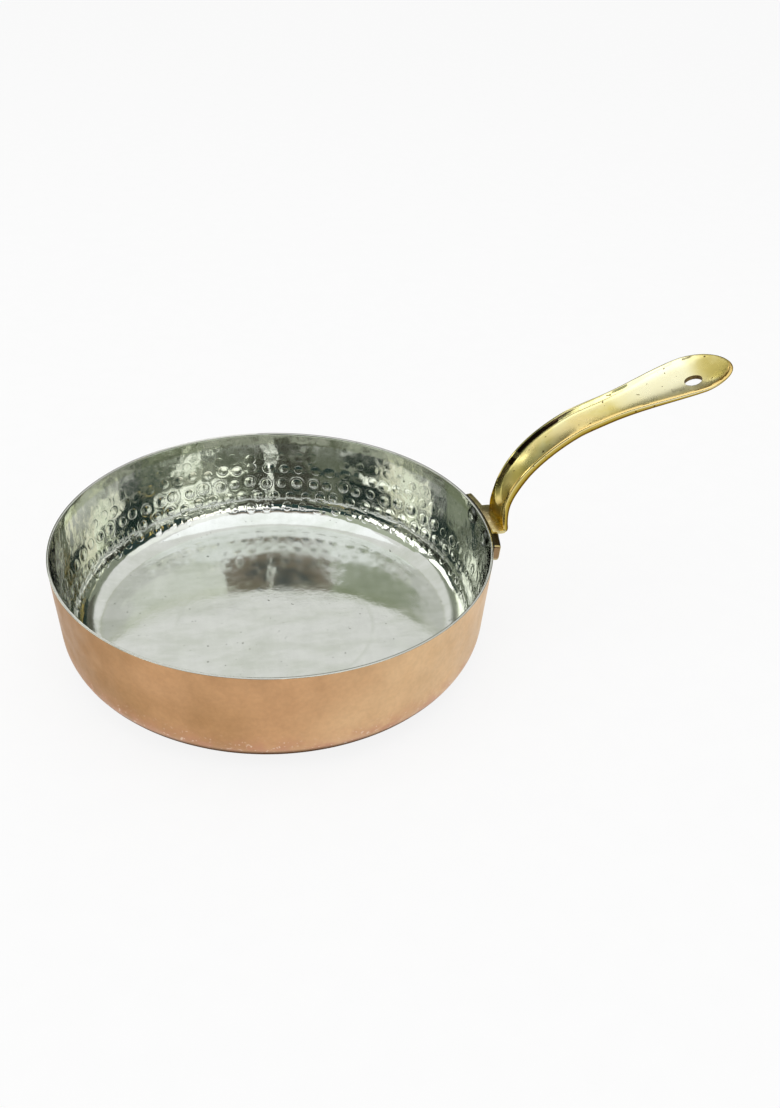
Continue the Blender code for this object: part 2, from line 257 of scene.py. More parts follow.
def spun(section, steps, slices=1):
    """A bmesh of a chain of (radius, height) points, spun once round the Z axis.

    A fine spin is quicker in slices: one slice is spun, then copied round."""
    body = bmesh.new()
    chain = [body.verts.new((radius, 0, height)) for radius, height in section]
    edges = [body.edges.new(pair) for pair in zip(chain, chain[1:])]
    bmesh.ops.spin(
        body,
        geom=chain + edges,
        cent=(0, 0, 0),
        axis=(0, 0, 1),
        angle=tau / slices,
        steps=steps // slices,
        use_merge=slices == 1,
    )
    first = body.verts[:] + body.edges[:] + body.faces[:]
    for turn in range(1, slices):
        copied = bmesh.ops.duplicate(body, geom=first)["geom"]
        verts = [item for item in copied if isinstance(item, bmesh.types.BMVert)]
        turned = Matrix.Rotation(tau * turn / slices, 3, "Z")
        bmesh.ops.rotate(body, cent=(0, 0, 0), matrix=turned, verts=verts)
    bmesh.ops.remove_doubles(body, verts=body.verts, dist=0.000005)
    bmesh.ops.recalc_face_normals(body, faces=body.faces)
    return body


print("shape helpers ready")

# %% [markdown]
# ## Room
# Polished metal shows the room it stands in. The tent here is plain and white, with soft lamps
# overhead and at the left. A dim ring stands far out for the lower walls of a room. In front of it,
# bright cards stand for windows and gaps, and dark ones for furniture and the ground. Only
# reflections see them, and they give the tin and the brass their contrast.


# %% The world
def seen_directly(tree):
    """1 for a camera ray, or one that a glossy or clear surface sent on, and 0 for the rest."""
    path = add_node(tree, "LightPath")
    first = math_of("MAXIMUM", path.outputs["Is Camera Ray"], path.outputs["Is Glossy Ray"])
    return math_of("MAXIMUM", first, path.outputs["Is Transmission Ray"])


WORLD_LIGHT = 0.70
world = bpy.data.worlds.new("light_tent")
scene.world = world
world.use_nodes = True
tree = world.node_tree
tent = tree.nodes["Background"]
feed(tent.inputs["Color"], (WORLD_LIGHT, WORLD_LIGHT, WORLD_LIGHT))
shown = add_node(tree, "Background", Color=(1, 1, 1, 1))
layers = [(0, seen_directly(tree)), (1, tent.outputs[0]), (2, shown.outputs[0])]
blend = add_node(tree, "MixShader", layers)
tree.links.new(blend.outputs[0], tree.nodes["World Output"].inputs["Surface"])
print("world lights with", WORLD_LIGHT)

# %% The floor
FLOOR_HALF = 7.0
FLOOR_WHITE = 0.86  # share of plain white that the camera sees, the rest keeps the shadow
paper, tree, shader = new_material("white_paper", metallic=0.0)
cover(shader, ramp(noise_at(object_place(tree), 60.0), [(0.3, 0.86), (0.7, 0.90)]), 0.9)
shader.inputs["Specular IOR Level"].default_value = 0.1
white = add_node(tree, "Emission", Color=(1, 1, 1, 1))
share = times(seen_directly(tree), FLOOR_WHITE)
layers = [(0, share), (1, shader.outputs[0]), (2, white.outputs[0])]
blend = add_node(tree, "MixShader", layers)
tree.links.new(blend.outputs[0], tree.nodes["Material Output"].inputs["Surface"])
body = bmesh.new()
bmesh.ops.create_grid(body, x_segments=8, y_segments=8, size=FLOOR_HALF)
floor = new_object("floor", body, paper)
print("floor", 2 * FLOOR_HALF, "m square")


# %% Helpers for lamps and cards
def turned_to_pan(heading, height, distance):
    """A place round the pan, facing it: heading in degrees from the camera's side to its right."""
    turn = pi + CAMERA_HEADING - radians(heading)
    away = Vector((sin(turn), cos(turn), 0))
    rise = radians(height)
    place = (away * cos(rise) + Vector((0, 0, sin(rise)))) * distance
    return Matrix.Translation(place) @ (-place).to_track_quat("-Z", "Y").to_matrix().to_4x4()


def soft_lamp(name, heading, height, distance, size, brightness):
    """A rectangle of light: its power follows from its size and how bright it should look."""
    lamp = bpy.data.lights.new(name, "AREA")
    lamp.shape = "RECTANGLE"
    lamp.size, lamp.size_y = size
    lamp.energy = brightness * pi * size[0] * size[1]
    obj = bpy.data.objects.new(name, lamp)
    obj.visible_glossy = False
    obj.matrix_world = turned_to_pan(heading, height, distance)
    scene.collection.objects.link(obj)


def for_reflections(name, body, matrix, colour):
    """A glowing surface that only reflections see."""
    cloth, tree, shader = new_material(name)
    tree.nodes.remove(shader)
    glow = add_node(tree, "Emission", Color=(*colour, 1))
    tree.links.new(glow.outputs[0], tree.nodes["Material Output"].inputs["Surface"])
    card = new_object(name, body, cloth)
    card.matrix_world = matrix
    for kind in ("camera", "diffuse", "shadow", "transmission", "volume_scatter"):
        setattr(card, "visible_" + kind, False)


def flat_sheet(across, up):
    """A bmesh of one flat face round the origin."""
    body = bmesh.new()
    bmesh.ops.create_grid(body, x_segments=1, y_segments=1, size=0.5)
    bmesh.ops.scale(body, vec=(across, up, 1), verts=body.verts)
    return body


def card(name, heading, height, distance, spread, colour):
    """A flat card facing the pan: spread is how many degrees it fills, across and up."""
    across, up = (2 * distance * tan(radians(angle) / 2) for angle in spread)
    place = turned_to_pan(heading, height, distance)
    for_reflections(name, flat_sheet(across, up), place, colour)


print("lamp and card helpers ready")

# %% Place the lamps and the cards
soft_lamp("overhead", 0, 84, 1.6, (1.5, 1.5), 0.9)
soft_lamp("left_lamp", -60, 40, 1.6, (0.8, 0.8), 0.9)
ROOM_CARDS = [  # name, heading, height, distance, degrees across and up, colour
    ("ceiling_light", 0, 78, 1.8, (72, 46), (1.42, 1.45, 1.50)),
    ("left_window", -86, 27, 1.8, (74, 12), (2.60, 2.64, 2.48)),
    ("left_bar", -68, 28, 1.6, (4, 16), (0.20, 0.22, 0.18)),
    ("left_bar_behind", -101, 28, 1.6, (5, 16), (0.30, 0.33, 0.28)),
    ("right_window", 74, 45, 1.7, (58, 13), (1.22, 1.24, 1.21)),
    ("left_wall_high", -62, 43, 1.7, (56, 15), (0.54, 0.59, 0.47)),
    ("right_strip", 46, 31.5, 1.8, (34, 8), (2.00, 1.94, 1.66)),
    ("bright_gap", 11, 26, 1.6, (3, 8), (3.00, 3.00, 2.95)),
    ("dark_shelf", -14, 28, 1.7, (54, 13), (0.035, 0.065, 0.060)),
    ("strip_ahead", 22, 33.5, 1.7, (44, 3.5), (2.30, 2.28, 2.05)),
    ("far_room", 180, 22, 2.2, (92, 25.5), (0.13, 0.13, 0.105)),
    ("far_gap", -168, 27, 2.0, (7, 10), (2.60, 2.62, 2.60)),
    ("dark_ahead_low", 2, 6.5, 1.75, (60, 28), (0.05, 0.05, 0.04)),
    ("dark_ahead", 4, 44.0, 1.75, (56, 6.0), (0.09, 0.110, 0.112)),
    ("brown_ahead", 4, 49.4, 1.75, (52, 4.8), (0.34, 0.285, 0.23)),
    ("bright_slit", 11, 45.6, 1.6, (1.6, 2.8), (1.90, 1.95, 1.95)),
    ("cabinet", 84, 21, 1.7, (46, 26), (0.035, 0.060, 0.055)),
    ("bright_corner", 29, 28, 1.6, (13, 12), (2.20, 2.26, 2.00)),
    ("bench", -75, 4, 2.0, (56, 9), (0.12, 0.11, 0.08)),
]
ring = spun([(2.4, 0.1), (2.4, 1.60)], 64)
for_reflections("dim_room", ring, Matrix(), (0.30, 0.33, 0.26))
for settings in ROOM_CARDS:
    card(*settings)
ahead = Matrix.Rotation(-CAMERA_HEADING, 4, "Z") @ Matrix.Translation((0.25, -0.94, 0.002))
for_reflections("dark_ground", flat_sheet(1.3, 1.36), ahead, (0.05, 0.04, 0.03))
print("lamps placed, and", len(ROOM_CARDS) + 2, "surfaces for reflections")

# %% [markdown]
# ## Copper finish
# The outside of the pan is copper rubbed to a satin. It reflects softly, with faint mottling where
# the metal was worked. The foot is pinker and speckled where the pan has stood on a stove. The side
# away from the handle is painted darker and the side towards it lighter, as painted light, and a
# thin dark line of painted shade runs along the bottom edge. The satin comes from a wide gloss, and
# the mottling from slow noise in the colour and in the gloss. Foot and painted shade follow the
# height above the base.

# %% Satin copper
COPPER_SHADED_SIDE = (0.46, 0.25, 0.10)
COPPER = (0.655, 0.378, 0.19)
COPPER_LIT_SIDE = (0.765, 0.52, 0.29)
COPPER_FOOT = (0.56, 0.28, 0.165)
COPPER_FLECK = (0.90, 0.72, 0.56)
COPPER_BASE_SHADE = (0.14, 0.09, 0.06)
COPPER_SHINE = (0.95, 0.93, 0.90)
COPPER_SHADED_SHINE = (0.30, 0.24, 0.20)  # grazing shine under the bottom's painted shade
TOWARDS_LIGHT = (0.968, -0.25, 0)  # towards the handle's side, painted lighter as painted light

copper, tree, shader = new_material("satin_copper")
place = object_place(tree)
across = add_node(tree, "VectorMath", [(0, place)], operation="DOT_PRODUCT")
across.inputs[1].default_value = TOWARDS_LIGHT
# Painted light: the copper is darker away from the handle and lighter towards it, with a random
# tinge.
tinge = math_of("ADD", times(noise_at(place, 16), 0.5), 0.25)
side_light_and_tinge = math_of("ADD", times(across.outputs["Value"], 4.0), tinge)
colour = ramp(side_light_and_tinge, [(0.20, COPPER_SHADED_SIDE), (0.52, COPPER), (0.92, COPPER_LIT_SIDE)])
slow = noise_at(place, 34, detail=5, roughness=0.6)
colour = multiplied(colour, ramp(slow, [(0.32, 0.90), (0.68, 1)]))
colour = multiplied(colour, ramp(noise_at(place, 420), [(0.30, 0.93), (0.70, 1)]))
height = add_node(tree, "SeparateXYZ", [("Vector", place)]).outputs["Z"]
foot = ramp(times(height, 30.0), [(0.30, 0.95), (0.85, 0)])
broken = multiplied(foot, ramp(noise_at(place, 150), [(0.35, 0.2), (0.65, 1)]))
colour = mixed(broken, colour, COPPER_FOOT)
flecks = ramp(noise_at(place, 480, detail=1), [(0.64, 0), (0.70, 1)])
colour = mixed(multiplied(flecks, broken), colour, COPPER_FLECK)
# Painted shade: a thin dark band along the bottom edge, in the colour and in the shine.
base_shade = ramp(times(height, 60.0), [(0.52, 1), (0.82, 0)])
feed(shader.inputs["Specular Tint"], mixed(base_shade, COPPER_SHINE, COPPER_SHADED_SHINE))
gloss = ramp(noise_at(place, 90, detail=5), [(0.3, 0.34), (0.7, 0.46)])
worked = bumped(noise_at(place, 95), 0.00012, 0.5)
rubbed = noise_at(object_place(tree, (1, 1, 9)), 700.0, detail=2)
bumps = bumped(rubbed, 0.00003, 0.6, under=worked)
cover(shader, mixed(base_shade, colour, COPPER_BASE_SHADE), gloss, bumps)
print("copper", COPPER)

# %% [markdown]
# ## Tin finish
# Inside, molten tin was wiped over the copper. It is soft and bright like dull silver, and shows
# wiping streaks, faint rings and a few dark specks. The hammer marks have crisp edges, which a mesh
# of this size blurs. So the lining carries how far each point is from its mark, as an attribute,
# and the finish draws the fine edge from that.

# %% Wiped tin: its colour
TIN_FLOOR = (0.655, 0.672, 0.628)
TIN_WALL_FACE = (0.755, 0.763, 0.738)
TIN_SHADE = (0.56, 0.585, 0.52)
TIN_SPECK = (0.23, 0.24, 0.21)
TIN_BAND = (0.60, 0.62, 0.525)
TIN_EDGE = (0.53, 0.54, 0.495)

tin, tree, shader = new_material("wiped_tin")
place = object_place(tree)
height = add_node(tree, "SeparateXYZ", [("Vector", place)]).outputs["Z"]
on_wall = ramp(times(height, 30.0), [(0.12, 0), (0.42, 1)])
bright = mixed(on_wall, TIN_FLOOR, TIN_WALL_FACE)
shade = mixed(on_wall, TIN_SHADE, TIN_FLOOR)
wiped = noise_at(object_place(tree, (1.0, 2.6, 1)), 26.0, detail=5, roughness=0.6)
colour = laid_over(shade, bright, wiped, [(0.30, 0), (0.62, 1)])
flat_place = object_place(tree, (1, 1, 0))
from_axis = add_node(tree, "VectorMath", [(0, flat_place)], operation="LENGTH").outputs["Value"]
rubbed_ring = ramp(times(from_axis, 10.0), [(0.545, 0), (0.56, 1), (0.585, 0)])
patchy = ramp(noise_at(place, 30), [(0.42, 0), (0.60, 0.55)])
colour = mixed(multiplied(rubbed_ring, patchy), colour, TIN_SHADE)
strokes = noise_at(object_place(tree, (3.2, 0.8, 1)), 40.0, detail=5, roughness=0.65)
colour = multiplied(colour, ramp(strokes, [(0.35, 0.96), (0.66, 1)]))
up_wall = times(height, 16.0)
colour = laid_over(colour, TIN_BAND, up_wall, [(0.87, 0), (0.905, 1)])
colour = laid_over(colour, TIN_EDGE, up_wall, [(0.986, 0), (0.993, 1)])
specks = noise_at(place, 420, detail=1)
colour = laid_over(colour, TIN_SPECK, specks, [(0.74, 0), (0.78, 1)])
print("tin", TIN_FLOOR)

# %% Wiped tin: its gloss and the edges of the hammer marks
BLOW = [(0.0, 0.12), (0.21, 0.12), (0.26, 0.26), (0.38, 0.24)]  # across a mark, to its edge
BLOW += [(0.475, 1), (0.55, 0.85), (0.70, 0.55), (0.95, 0.5)]  # and out over the raised rim

floor_gloss = ramp(noise_at(place, 15, detail=5), [(0.32, 0.07), (0.68, 0.14)])
wall_gloss = ramp(noise_at(place, 60, detail=4), [(0.3, 0.015), (0.7, 0.045)])
edge = ramp(times(attribute(tree, "mark"), 0.5), BLOW)
edge = times(math_of("SUBTRACT", edge, 0.5), attribute(tree, "force"))
uneven = bumped(noise_at(place, 110), 0.00016, 0.5, under=bumped(edge, 0.00014))
fine = noise_at(object_place(tree, (1.0, 3.0, 1)), 320.0)
bumps = bumped(fine, 0.00002, 0.5, under=uneven)
cover(shader, colour, mixed(on_wall, floor_gloss, wall_gloss), bumps)
print("hammer marks drawn with", len(BLOW), "stops")

# %% Tinned rivets, duller and darker than the lining
RIVET_DARK = (0.38, 0.40, 0.36)
RIVET_BRIGHT = (0.86, 0.88, 0.84)
RIVET_EDGE_SHADE = (0.035, 0.04, 0.034)

rivet_tin, tree, shader = new_material("tinned_rivet")
place = object_place(tree)
worn = ramp(noise_at(place, 260, detail=4), [(0.38, RIVET_DARK), (0.66, RIVET_BRIGHT)])
# Painted shade: the head's outer edge, against the wall, is painted near black.
colour = laid_over(worn, RIVET_EDGE_SHADE, attribute(tree, "foot"), [(0.60, 0), (0.86, 0.92)])
gloss = ramp(noise_at(place, 500), [(0.3, 0.05), (0.7, 0.11)])
cover(shader, colour, gloss, bumped(noise_at(place, 700, detail=2), 0.00005, 0.6))
print("rivets", RIVET_DARK, RIVET_BRIGHT)

# %% [markdown]
# ## Brass finish
# The handle is cast in brass, filed and polished. Its top shines, warmer beside one rail, and a
# stretch before the spoon is painted paler as a painted sheen. The neck has browned. The sides and
# the underside are painted darker, as painted shade, and a black painted reflection lies along the
# banks of the trough. The mesh carries tones that follow its shape as attributes, and the finish
# reads the others from height or reach. Small pits show where the casting caught gas.

# %% Polished brass: its colour
BRASS = (0.89, 0.825, 0.44)
BRASS_DEEP = (0.75, 0.64, 0.21)
BRASS_WARM = (0.88, 0.73, 0.35)
BRASS_PAINTED_SHEEN = (0.99, 0.96, 0.68)
BRASS_OLIVE = (0.59, 0.495, 0.16)
BRASS_NECK = (0.56, 0.405, 0.16)
BRASS_SIDE_SHADE = (0.46, 0.335, 0.055)
BRASS_UNDER_SHADE = (0.23, 0.165, 0.055)
BRASS_FLUSH = (0.96, 0.70, 0.27)
BRASS_BANK_REFLECTION = (0.06, 0.035, 0.018)
BRASS_PIT = (0.12, 0.08, 0.03)
BRASS_GRAZED = (0.35, 0.25, 0.08)  # the shine's colour at a grazing angle

brass, tree, shader = new_material("polished_brass")
place = object_place(tree)
tone = noise_at(place, 60, detail=4)
warm = noise_at(place, 32, detail=4)
colour = laid_over(BRASS, BRASS_DEEP, tone, [(0.40, 0), (0.70, 1)])
colour = laid_over(colour, BRASS_WARM, warm, [(0.46, 0), (0.66, 0.8)])
parts = add_node(tree, "SeparateXYZ", [("Vector", place)])
height = times(parts.outputs["Z"], 5.0)
along = times(parts.outputs["X"], 4.0)
colour = laid_over(colour, BRASS_OLIVE, height, [(0.34, 1), (0.60, 0)])
colour = laid_over(colour, BRASS_NECK, height, [(0.345, 0.75), (0.385, 0)])
# Painted sheen: a stretch before the spoon is painted paler.
sheen_stretch = [(0.74, 0), (0.84, 0.85), (0.92, 0.85), (0.975, 0)]
colour = laid_over(colour, BRASS_PAINTED_SHEEN, along, sheen_stretch)
at_end = ramp(along, [(0.93, 0), (0.98, 1)])
end_patches = multiplied(at_end, ramp(tone, [(0.34, 0.4), (0.56, 1)]))
colour = mixed(end_patches, colour, BRASS_OLIVE)
# Painted shade: the sides and the underside are painted darker, darkest at the bottom.
under = attribute(tree, "under")
side_to_under_shade = ramp(under, [(0.16, BRASS_SIDE_SHADE), (0.44, BRASS_UNDER_SHADE)])
colour = laid_over(colour, side_to_under_shade, under, [(0.02, 0), (0.12, 0.9), (0.40, 1)])
colour = laid_over(colour, BRASS_FLUSH, attribute(tree, "flush"), [(0.05, 0), (0.90, 0.9)])
# Painted reflection: the banks of the trough are painted black.
colour = laid_over(colour, BRASS_BANK_REFLECTION, attribute(tree, "bank"), [(0.15, 0), (0.75, 1)])
pits = ramp(noise_at(place, 520, detail=0), [(0.805, 0), (0.82, 1)])
colour = mixed(pits, colour, BRASS_PIT)
feed(shader.inputs["Specular Tint"], BRASS_GRAZED)
print("brass", BRASS)

# %% Polished brass: its gloss, duller in the trough, and the file's fine lines
bright_gloss = ramp(noise_at(place, 130), [(0.3, 0.10), (0.7, 0.16)])
satin_gloss = ramp(noise_at(place, 90, detail=4), [(0.3, 0.24), (0.7, 0.36)])
gloss = mixed(attribute(tree, "hollow"), bright_gloss, satin_gloss)
filed = bumped(noise_at(object_place(tree, (1.6, 0.25, 1)), 260.0), 0.00005, 0.5)
cover(shader, colour, gloss, bumped(pits, -0.00015, under=filed))
print("brass gloss ready")

# %% [markdown]
# The flange keeps more of the casting's rough, dull skin, because it is hard to polish there. The
# seam beside the wall is painted dark as painted shadow, and the top of the near ear is painted
# dark as a painted reflection. The ends of the ears are painted dark brown, also a painted
# reflection.
# The hanging hole was drilled and never polished.

# %% Cast brass, on the flange
CAST = (0.73, 0.64, 0.325)
CAST_DEEP = (0.425, 0.352, 0.152)
CAST_RED = (0.60, 0.45, 0.24)
CAST_PAINTED_DARK = (0.03, 0.024, 0.018)
CAST_END_REFLECTION = (0.29, 0.19, 0.10)

cast_brass, tree, shader = new_material("cast_brass")
place = object_place(tree)
deep = noise_at(place, 150, detail=4)
colour = laid_over(CAST, CAST_DEEP, deep, [(0.36, 0), (0.64, 1)])
colour = laid_over(colour, CAST_RED, noise_at(place, 55), [(0.52, 0), (0.70, 0.5)])
# Painted reflection: the ends of the ears are painted dark brown.
colour = mixed(attribute(tree, "end"), colour, CAST_END_REFLECTION)
# Painted shadow in the seam beside the wall, and a painted dark reflection on the near ear's top.
colour = laid_over(colour, CAST_PAINTED_DARK, attribute(tree, "grime"), [(0.74, 0), (0.86, 1)])
gloss = ramp(noise_at(place, 300), [(0.3, 0.16), (0.7, 0.30)])
cover(shader, colour, gloss, bumped(noise_at(place, 420, detail=4), 0.00006, 0.7))
print("cast brass", CAST)

# %% Dull brass, inside the hanging hole
DULL_DARK = (0.10, 0.065, 0.025)
DULL_BRIGHT = (0.24, 0.17, 0.07)

dull, tree, shader = new_material("dull_brass")
grime = noise_at(object_place(tree), 400.0, detail=4)
cover(shader, ramp(grime, [(0.3, DULL_DARK), (0.7, DULL_BRIGHT)]), 0.5)
print("dull brass", DULL_DARK, DULL_BRIGHT)


# %% [markdown]
# ## Finishing a piece
# Every piece ends the same way: doubles are merged, the faces are turned outwards, and the mesh
# becomes an object at the origin that rides on the pan's one body.


# %% A helper that turns a bmesh into a piece
def finish_piece(name, body, material, replaced=(), sharp=40, merge=0.00001):
    bmesh.ops.remove_doubles(body, verts=body.verts, dist=merge)
    bmesh.ops.recalc_face_normals(body, faces=body.faces)
    open_edges = sum(1 for edge in body.edges if not edge.is_manifold)
    piece = new_object(name, body, material)
    piece.data.shade_smooth()
    piece.data.set_sharp_from_angle(angle=radians(sharp))
    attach(piece, "root")
    if replaced:
        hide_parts(*replaced)
    triangles = sum(len(polygon.vertices) - 2 for polygon in piece.data.polygons)
    print(name, "triangles", triangles, "open edges", open_edges)
    return piece


# %% [markdown]
# ## The copper shell
# A smith raises such a pan from a round sheet, so it is the same all the way round. Its half
# section, floor, corner and wall, is drawn once and spun. Its points on the axis merge to a pole.


# %% The pan's half section
def spread(start, end, steps):
    """Evenly spread numbers after the start, up to and with the end."""
    return [start + (end - start) * (step + 1) / steps for step in range(steps)]


def skin(inset, top, floor_steps, corner_steps, wall_steps):
    """Half a skin's section from the axis to a height, as (radius, height) points."""
    across = CORNER_RADIUS + (PAN_HEIGHT - CORNER_RADIUS) * sin(WALL_LEAN)
    centre = RIM_RADIUS - across / cos(WALL_LEAN)
    arc_radius = CORNER_RADIUS - inset
    points = [(0, inset)] + [(radius, inset) for radius in spread(0, centre, floor_steps)]
    for angle in spread(-pi / 2, -WALL_LEAN, corner_steps):
        height = CORNER_RADIUS + arc_radius * sin(angle)
        points.append((centre + arc_radius * cos(angle), height))
    heights = spread(points[-1][1], top, wall_steps)
    return points + [(wall_radius(height, inset), height) for height in heights]


shell_top = PAN_HEIGHT - TIN_WALL
outside = skin(0, shell_top, 8, 14, 10)
inside = skin(COPPER_WALL, shell_top, 8, 10, 6)
print("copper section points", len(outside) + len(inside))

# %% Spin the shell and give it a hand-made unevenness
SHELL_STEPS = 288
SHELL_DIP = 0.00016
EVEN_HEIGHT, EVEN_RADIUS = 0.004, 0.09  # the base is left flat inside these
body = spun(outside + inside[::-1], SHELL_STEPS)
for vert in body.verts:
    radius = hypot(vert.co.x, vert.co.y)
    if vert.co.z > EVEN_HEIGHT and radius > EVEN_RADIUS:
        wave = noise.noise(vert.co * 38.0) * 0.5 + noise.noise(vert.co * 95.0) * 0.25
        dip = SHELL_DIP * clamped(0.5 + wave) * min((vert.co.z - EVEN_HEIGHT) / 0.01, 1)
        vert.co.x -= vert.co.x / radius * dip
        vert.co.y -= vert.co.y / radius * dip
finish_piece("copper_shell", body, copper, ["pan_body"])

# %% [markdown]
# ## The hammered lining
# The wall was struck from inside with a round-faced hammer, in rows, before the pan was tinned.
# Each blow left a shallow dish with a crisp edge. The lining is spun as the shell was, only finer
# where the marks are. Then every point near a mark is pressed outwards, by how close it is to it.

# %% Where the hammer struck
MARK_ROWS = [  # height, degrees between marks, mark radius, force
    (0.0118, 5.6, 0.0033, 0.85),
    (0.0192, 5.0, 0.0034, 1.00),
    (0.0285, 5.0, 0.0035, 0.95),
    (0.0385, 4.8, 0.0035, 0.40),
    (0.0462, 5.0, 0.0034, 0.16),
    (0.0530, 5.2, 0.0033, 0.08),
]
ASIDE, HIGHER = 0.13, 0.0011  # how far a blow strays: share of the gap between marks, and metres
hand = random.Random(7)
lining_inside = skin(TIN_SKIN, PAN_HEIGHT, 8, 26, 54)


def lining_radius(height):
    """The tin face's radius at a height, from its section."""
    for (low_radius, low), (high_radius, high) in zip(lining_inside, lining_inside[1:]):
        if low <= height <= high and high > low:
            return low_radius + (high_radius - low_radius) * (height - low) / (high - low)
    return lining_inside[-1][0]


marks = []
for row, (height, apart, size, force) in enumerate(MARK_ROWS):
    count = round(360 / apart)
    for step in range(count):
        stepped = step + 0.5 * (row % 2) + hand.uniform(-ASIDE, ASIDE)
        angle = radians(360 * stepped / count)
        high = height + hand.uniform(-HIGHER, HIGHER)
        outward = Vector((cos(angle), sin(angle), 0))
        centre = outward * lining_radius(high) + Vector((0, 0, high))
        marks.append((centre, size * hand.uniform(0.86, 1.10), force * hand.uniform(0.35, 1.1)))
print("hammer marks", len(marks))

# %% Spin the lining, with a rolled edge over the rim
LINING_STEPS = 900
STAND_OFF = 0.00003  # keeps the tin's outer face clear of the copper
INNER_ROLL, INNER_DROP = 0.00075, 0.00055  # the edge's rounding inside the pan, across and down
OUTER_ROLL, OUTER_DROP = 0.00045, 0.00035


def rolled(start, roll, drop, degrees):
    """A point of the rolled edge: 90 degrees is its top."""
    turn = radians(degrees)
    return start + roll * (1 - cos(turn)), PAN_HEIGHT - drop * (1 - sin(turn))


lip = PAN_HEIGHT - TIN_WALL + STAND_OFF
lining_outside = skin(COPPER_WALL + STAND_OFF, lip, 2, 6, 2)
tin_face = RIM_RADIUS - TIN_SKIN
edge = [rolled(tin_face, INNER_ROLL, INNER_DROP, turn) for turn in (18, 36, 54, 72, 90)]
edge += [rolled(RIM_RADIUS, -OUTER_ROLL, OUTER_DROP, turn) for turn in (90, 66, 42, 18)]
edge.append((RIM_RADIUS - 0.00002, lip))
lining_inside[-1] = (lining_inside[-1][0], PAN_HEIGHT - INNER_DROP)
body = spun(lining_inside + edge + lining_outside[::-1], LINING_STEPS, slices=30)
print("lining points", len(body.verts))

# %% How far a blow presses, and how uneven hammering leaves the tin
MARK_DEPTH = 0.00026
MARK_LIFT = 0.00005  # the metal raised round a mark
CORNER_FILL = 0.0008  # how far hammering left the corner inside of a true arc
WALL_WAVES, WALL_RIPPLES, FLOOR_WAVES = 0.00020, 0.00007, 0.00010
PLAIN_LIP = 0.001  # the lining's top is left plain


def struck(reach, force):
    """Depth at a distance from the mark's middle, as a share of its radius."""
    dish = MARK_DEPTH * force * (1 - reach * reach) if reach < 1 else 0.0
    return dish - MARK_LIFT * force * exp(-(((reach - 1.12) / 0.16) ** 2))


def unevenness(place, radius):
    """Depth of the waves at a place. The corner counts as less than none."""
    wall_share = clamped((place.z - 0.006) / 0.012)
    top_share = clamped((PAN_HEIGHT - PLAIN_LIP - place.z) / 0.006)
    slow = noise.noise(Vector((place.x * 70, place.y * 70, place.z * 45)))
    fine = noise.noise(Vector((place.x * 160, place.y * 160, place.z * 90 + 7)))
    wall = (WALL_WAVES * slow + WALL_RIPPLES * fine) * wall_share * top_share
    base = FLOOR_WAVES * noise.noise(place * 24.0) * (1 - wall_share)
    corner = CORNER_FILL * ease((0.036 - place.z) / 0.016) * ease((radius - 0.062) / 0.036)
    return wall + base - corner


print("deepest mark", 1000 * struck(0, 1), "mm")

# %% Press the marks into the lining
near = kdtree.KDTree(len(marks))
for index, (centre, size, force) in enumerate(marks):
    near.insert(centre, index)
near.balance()
body.normal_update()
mark_layer = body.verts.layers.float.new("mark")
force_layer = body.verts.layers.float.new("force")
moves = []
for vert in body.verts:
    facing = vert.normal
    outward = Vector((vert.co.x, vert.co.y, 0))
    faces_in = facing.z > 0.5 or facing.dot(outward) < 0
    vert[mark_layer] = 2.0
    if not faces_in or vert.co.z > PAN_HEIGHT - PLAIN_LIP:
        continue
    _, index, distance = near.find(vert.co)
    centre, size, force = marks[index]
    reach = distance / size
    vert[mark_layer] = min(reach, 2.0)
    vert[force_layer] = force
    press = struck(reach, force) + unevenness(vert.co, outward.length)
    moves.append((vert, facing.copy() * -press))
for vert, move in moves:
    vert.co += move
finish_piece("hammered_tinning", body, tin, ["tin_lining"], sharp=60, merge=0.000005)

# %% [markdown]
# ## The rivets
# Two copper rivets hold the handle, and were tinned with the inside. Each has a domed head inside
# the pan and a peened end outside. A rivet is turned, so it is spun round its own axis and then
# laid through the wall.

# %% Rivet sizes and place
RIVET_RADIUS = 0.0026
RIVET_SPREAD = 0.0126
RIVET_DROP = 0.0057
HEAD_RADIUS, HEAD_HEIGHT = 0.0048, 0.0019
TAIL_RADIUS, TAIL_HEIGHT = 0.0035, 0.0013
EAR_THICKNESS = 0.0042


def rivet_frame(side):
    """Origin on the wall's outer face, Z straight out of the leaning wall."""
    height = PAN_HEIGHT - RIVET_DROP
    place = Matrix.Translation((wall_radius(height), 0, height))
    out = place @ Matrix.Rotation(pi / 2 + WALL_LEAN, 4, "Y")
    return Matrix.Rotation(side * asin(RIVET_SPREAD / RIM_RADIUS), 4, "Z") @ out


print("rivets", round(2 * RIVET_SPREAD, 4), "m apart")

# %% Spin the two rivets
HEAD_STEPS, TAIL_STEPS, RIVET_STEPS = 16, 10, 72
HEAD_SEAT = 0.0002  # the head's back stands this much nearer to the tin than its edge
HEAD_DENT, TAIL_DENT = 0.00012, 0.0001

